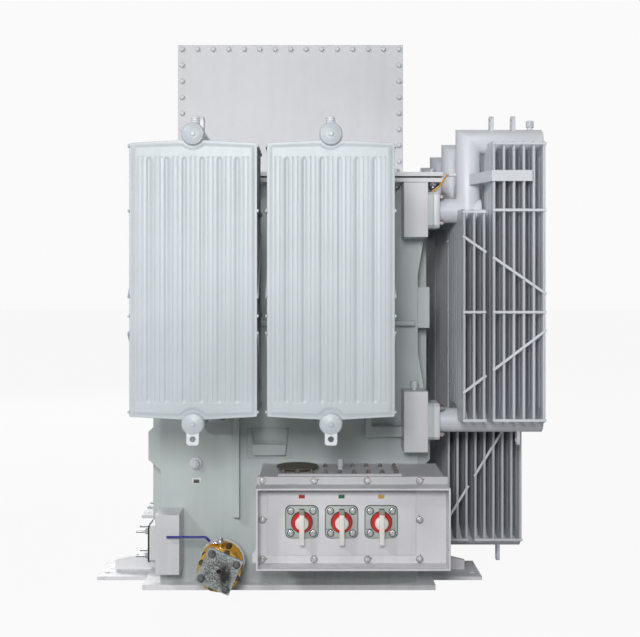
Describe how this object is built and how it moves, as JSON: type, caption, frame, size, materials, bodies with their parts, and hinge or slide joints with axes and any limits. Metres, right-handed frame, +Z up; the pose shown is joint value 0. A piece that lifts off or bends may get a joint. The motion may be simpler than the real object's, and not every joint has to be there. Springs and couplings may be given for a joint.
{
  "type": "power transformer",
  "caption": "Oil-filled power transformer with a welded plate tank, panel radiators on goosenecked headers, a cable box on the cover, tap drives and a drain valve.",
  "frame": {"origin": "middle of the tank's base plate, on the ground", "axes": "+X to the side radiators, +Y from the tap drives to the rear, +Z up"},
  "size_m": [2.145, 2.959, 2.695],
  "materials": {
    "tank_paint": "satin grey paint",
    "panel_paint": "satin pale grey paint",
    "box_paint": "satin pale grey paint",
    "gasket_rubber": "matt black",
    "cap_finish": "dull olive brown",
    "dial_red": "red",
    "drive_plate": "cast, satin",
    "name_plate": "bare coloured plate",
    "valve_gold": "yellow passivated",
    "worn_steel": "dirty, weathered",
    "lead_yellow": "yellow sheath",
    "lever_blue": "blue sleeve",
    "handle_white": "white"
  },
  "bodies": {
    "transformer": {"base_plate": "tank_paint", "feet": "tank_paint", "tank_front_wall": "tank_paint", "tank_rear_wall": "tank_paint", "tank_left_wall": "tank_paint", "tank_right_wall": "tank_paint", "tank_rim": "tank_paint", "cover_gasket": "gasket_rubber", "tank_cover": "box_paint", "front_wall_bars": "tank_paint", "front_wall_belt": "tank_paint", "wall_stiffeners": "tank_paint", "wall_boxes": "tank_paint", "wall_gussets": "tank_paint", "cable_box_walls": "box_paint", "cable_box_roof": "box_paint", "cable_box_front_plate": "box_paint", "cable_box_rear_plate": "box_paint", "front_left_radiator_panels": "panel_paint", "front_right_radiator_panels": "panel_paint", "side_radiator_1_panels": "panel_paint", "side_radiator_2_panels": "panel_paint", "side_radiator_3_panels": "panel_paint", "side_radiator_4_panels": "panel_paint", "front_radiator_pipes": "tank_paint", "side_radiator_pipes": "tank_paint", "tank_flanges": "tank_paint", "front_tie_bars": "tank_paint", "side_tie_bars": "tank_paint", "lifting_lugs": "tank_paint", "drain_tabs": "tank_paint", "plugs": "tank_paint", "oil_boxes": "tank_paint", "blank_gaskets": "gasket_rubber", "blank_flanges": "tank_paint", "document_pocket": "tank_paint", "tap_compartment": "tank_paint", "tap_front_plate": "tank_paint", "tap_rain_lip": "tank_paint", "gland_plate": "tank_paint", "disc_cap": "cap_finish", "tap_drive_plates": "drive_plate", "tap_dials": "dial_red", "name_plates": "name_plate", "drain_valve": "valve_gold", "drain_blank": "worn_steel", "bonding_lead": "lead_yellow"},
    "tap_handle_left": {"tap_handle_left": "handle_white"},
    "tap_handle_middle": {"tap_handle_middle": "handle_white"},
    "tap_handle_right": {"tap_handle_right": "handle_white"},
    "drain_lever": {"drain_lever": "lever_blue"}
  },
  "joints": [
    {"name": "tap_handle_left_turn", "type": "hinge", "parent": "transformer", "child": "tap_handle_left", "pos_m": [0.065, -1.414, 0.405], "axis": [0, -1, 0], "range_deg": [-45, 45]},
    {"name": "tap_handle_middle_turn", "type": "hinge", "parent": "transformer", "child": "tap_handle_middle", "pos_m": [0.241, -1.414, 0.405], "axis": [0, -1, 0], "range_deg": [-45, 45]},
    {"name": "tap_handle_right_turn", "type": "hinge", "parent": "transformer", "child": "tap_handle_right", "pos_m": [0.417, -1.414, 0.405], "axis": [0, -1, 0], "range_deg": [-45, 45]},
    {"name": "drain_lever_turn", "type": "hinge", "parent": "transformer", "child": "drain_lever", "pos_m": [-0.313, -1.21, 0.27], "axis": [0, 0, 1], "range_deg": [0, 90]}
  ]
}
